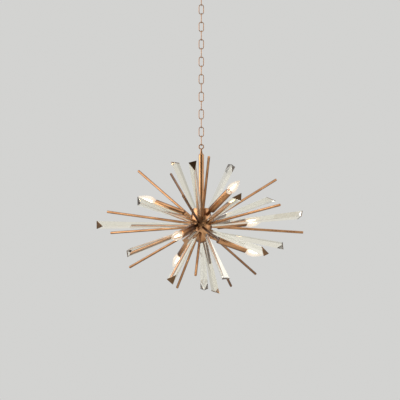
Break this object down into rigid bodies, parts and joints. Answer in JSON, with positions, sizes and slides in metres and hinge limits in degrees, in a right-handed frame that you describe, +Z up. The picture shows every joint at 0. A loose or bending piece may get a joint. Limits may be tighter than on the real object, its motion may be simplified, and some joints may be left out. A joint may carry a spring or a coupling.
{
  "type": "sputnik chandelier",
  "caption": "Sputnik chandelier on a link chain: metal rods, tapered clear glass prisms with metal caps and candle bulbs burst from a bronze hub.",
  "frame": {"origin": "middle of the ceiling bracket's top face, on the ceiling", "axes": "+Z up into the ceiling, +X to the right and +Y away from someone in front of the chandelier"},
  "size_m": [0.7807, 0.7209, 1.2238],
  "materials": {
    "antique_brass": "satin",
    "dark_bronze": "satin",
    "prism_glass": "clear",
    "bulb_glass": "clear",
    "cap_steel": "satin",
    "bracket_steel": "satin",
    "white_plastic": "gloss"
  },
  "bodies": {
    "ceiling": {"ceiling_bracket": "bracket_steel", "hanger_nipple": "bracket_steel", "nipple_locknut": "bracket_steel", "terminal_block": "white_plastic", "hook_loop": "antique_brass"},
    "canopy_set": {"canopy": "antique_brass", "canopy_ring_nut": "antique_brass"},
    "link_01": {"chain_link_01": "antique_brass"},
    "link_02": {"chain_link_02": "antique_brass"},
    "link_03": {"chain_link_03": "antique_brass"},
    "link_04": {"chain_link_04": "antique_brass"},
    "link_05": {"chain_link_05": "antique_brass"},
    "link_06": {"chain_link_06": "antique_brass"},
    "link_07": {"chain_link_07": "antique_brass"},
    "link_08": {"chain_link_08": "antique_brass"},
    "link_09": {"chain_link_09": "antique_brass"},
    "link_10": {"chain_link_10": "antique_brass"},
    "link_11": {"chain_link_11": "antique_brass"},
    "link_12": {"chain_link_12": "antique_brass"},
    "link_13": {"chain_link_13": "antique_brass"},
    "link_14": {"chain_link_14": "antique_brass"},
    "link_15": {"chain_link_15": "antique_brass"},
    "link_16": {"chain_link_16": "antique_brass"},
    "link_17": {"chain_link_17": "antique_brass"},
    "link_18": {"chain_link_18": "antique_brass"},
    "fixture": {"stem_eye": "antique_brass", "stem_tube": "antique_brass", "hub_body": "antique_brass", "hub_lid": "antique_brass", "lamp_nipples": "antique_brass", "lampholders": "white_plastic", "rods_upper": "antique_brass", "prisms_upper": "prism_glass", "prism_caps_upper": "dark_bronze", "rods_middle": "antique_brass", "prisms_middle": "prism_glass", "prism_caps_middle": "dark_bronze", "rods_lower": "antique_brass", "prisms_lower": "prism_glass", "prism_caps_lower": "dark_bronze", "candle_tube_1": "antique_brass", "candle_tube_2": "antique_brass", "candle_tube_3": "antique_brass", "candle_tube_4": "antique_brass", "candle_tube_5": "antique_brass", "candle_tube_6": "antique_brass"},
    "bulb_1": {"bulb_glass_1": "bulb_glass", "bulb_cap_1": "cap_steel"},
    "bulb_2": {"bulb_glass_2": "bulb_glass", "bulb_cap_2": "cap_steel"},
    "bulb_3": {"bulb_glass_3": "bulb_glass", "bulb_cap_3": "cap_steel"},
    "bulb_4": {"bulb_glass_4": "bulb_glass", "bulb_cap_4": "cap_steel"},
    "bulb_5": {"bulb_glass_5": "bulb_glass", "bulb_cap_5": "cap_steel"},
    "bulb_6": {"bulb_glass_6": "bulb_glass", "bulb_cap_6": "cap_steel"}
  },
  "joints": [
    {"name": "canopy_lower", "type": "slide", "parent": "ceiling", "child": "canopy_set", "axis": [0, 0, 1], "range_m": [-0.018, 0]},
    {"name": "chain_hinge_01", "type": "hinge", "parent": "ceiling", "child": "link_01", "pos_m": [0, 0, -0.072], "axis": [0, 1, 0], "range_deg": [-30, 30]},
    {"name": "chain_hinge_02", "type": "hinge", "parent": "link_01", "child": "link_02", "pos_m": [0, 0, -0.1051], "axis": [1, 0, 0], "range_deg": [-30, 30]},
    {"name": "chain_hinge_03", "type": "hinge", "parent": "link_02", "child": "link_03", "pos_m": [0, 0, -0.1387], "axis": [0, -1, 0], "range_deg": [-30, 30]},
    {"name": "chain_hinge_04", "type": "hinge", "parent": "link_03", "child": "link_04", "pos_m": [0, 0, -0.1723], "axis": [-1, 0, 0], "range_deg": [-30, 30]},
    {"name": "chain_hinge_05", "type": "hinge", "parent": "link_04", "child": "link_05", "pos_m": [0, 0, -0.2059], "axis": [0, 1, 0], "range_deg": [-30, 30]},
    {"name": "chain_hinge_06", "type": "hinge", "parent": "link_05", "child": "link_06", "pos_m": [0, 0, -0.2395], "axis": [1, 0, 0], "range_deg": [-30, 30]},
    {"name": "chain_hinge_07", "type": "hinge", "parent": "link_06", "child": "link_07", "pos_m": [0, 0, -0.2731], "axis": [0, -1, 0], "range_deg": [-30, 30]},
    {"name": "chain_hinge_08", "type": "hinge", "parent": "link_07", "child": "link_08", "pos_m": [0, 0, -0.3067], "axis": [-1, 0, 0], "range_deg": [-30, 30]},
    {"name": "chain_hinge_09", "type": "hinge", "parent": "link_08", "child": "link_09", "pos_m": [0, 0, -0.3403], "axis": [0, 1, 0], "range_deg": [-30, 30]},
    {"name": "chain_hinge_10", "type": "hinge", "parent": "link_09", "child": "link_10", "pos_m": [0, 0, -0.3739], "axis": [1, 0, 0], "range_deg": [-30, 30]},
    {"name": "chain_hinge_11", "type": "hinge", "parent": "link_10", "child": "link_11", "pos_m": [0, 0, -0.4075], "axis": [0, -1, 0], "range_deg": [-30, 30]},
    {"name": "chain_hinge_12", "type": "hinge", "parent": "link_11", "child": "link_12", "pos_m": [0, 0, -0.4411], "axis": [-1, 0, 0], "range_deg": [-30, 30]},
    {"name": "chain_hinge_13", "type": "hinge", "parent": "link_12", "child": "link_13", "pos_m": [0, 0, -0.4747], "axis": [0, 1, 0], "range_deg": [-30, 30]},
    {"name": "chain_hinge_14", "type": "hinge", "parent": "link_13", "child": "link_14", "pos_m": [0, 0, -0.5083], "axis": [1, 0, 0], "range_deg": [-30, 30]},
    {"name": "chain_hinge_15", "type": "hinge", "parent": "link_14", "child": "link_15", "pos_m": [0, 0, -0.5419], "axis": [0, -1, 0], "range_deg": [-30, 30]},
    {"name": "chain_hinge_16", "type": "hinge", "parent": "link_15", "child": "link_16", "pos_m": [0, 0, -0.5755], "axis": [-1, 0, 0], "range_deg": [-30, 30]},
    {"name": "chain_hinge_17", "type": "hinge", "parent": "link_16", "child": "link_17", "pos_m": [0, 0, -0.6091], "axis": [0, 1, 0], "range_deg": [-30, 30]},
    {"name": "chain_hinge_18", "type": "hinge", "parent": "link_17", "child": "link_18", "pos_m": [0, 0, -0.6427], "axis": [1, 0, 0], "range_deg": [-30, 30]},
    {"name": "chain_hinge_19", "type": "hinge", "parent": "link_18", "child": "fixture", "pos_m": [0, 0, -0.6763], "axis": [0, -1, 0], "range_deg": [-30, 30]},
    {"name": "bulb_1_draw", "type": "slide", "parent": "fixture", "child": "bulb_1", "axis": [0.519, -0.7143, 0.4695], "range_m": [0, 0.03]},
    {"name": "bulb_2_draw", "type": "slide", "parent": "fixture", "child": "bulb_2", "axis": [-0.3944, -0.8654, -0.309], "range_m": [0, 0.03]},
    {"name": "bulb_3_draw", "type": "slide", "parent": "fixture", "child": "bulb_3", "axis": [-0.4043, 0.7293, -0.5519], "range_m": [0, 0.03]},
    {"name": "bulb_4_draw", "type": "slide", "parent": "fixture", "child": "bulb_4", "axis": [-0.8793, 0.2942, 0.3746], "range_m": [0, 0.03]},
    {"name": "bulb_5_draw", "type": "slide", "parent": "fixture", "child": "bulb_5", "axis": [0.8529, 0.4535, -0.2588], "range_m": [0, 0.03]},
    {"name": "bulb_6_draw", "type": "slide", "parent": "fixture", "child": "bulb_6", "axis": [0.8532, 0.5026, 0.1392], "range_m": [0, 0.03]}
  ]
}
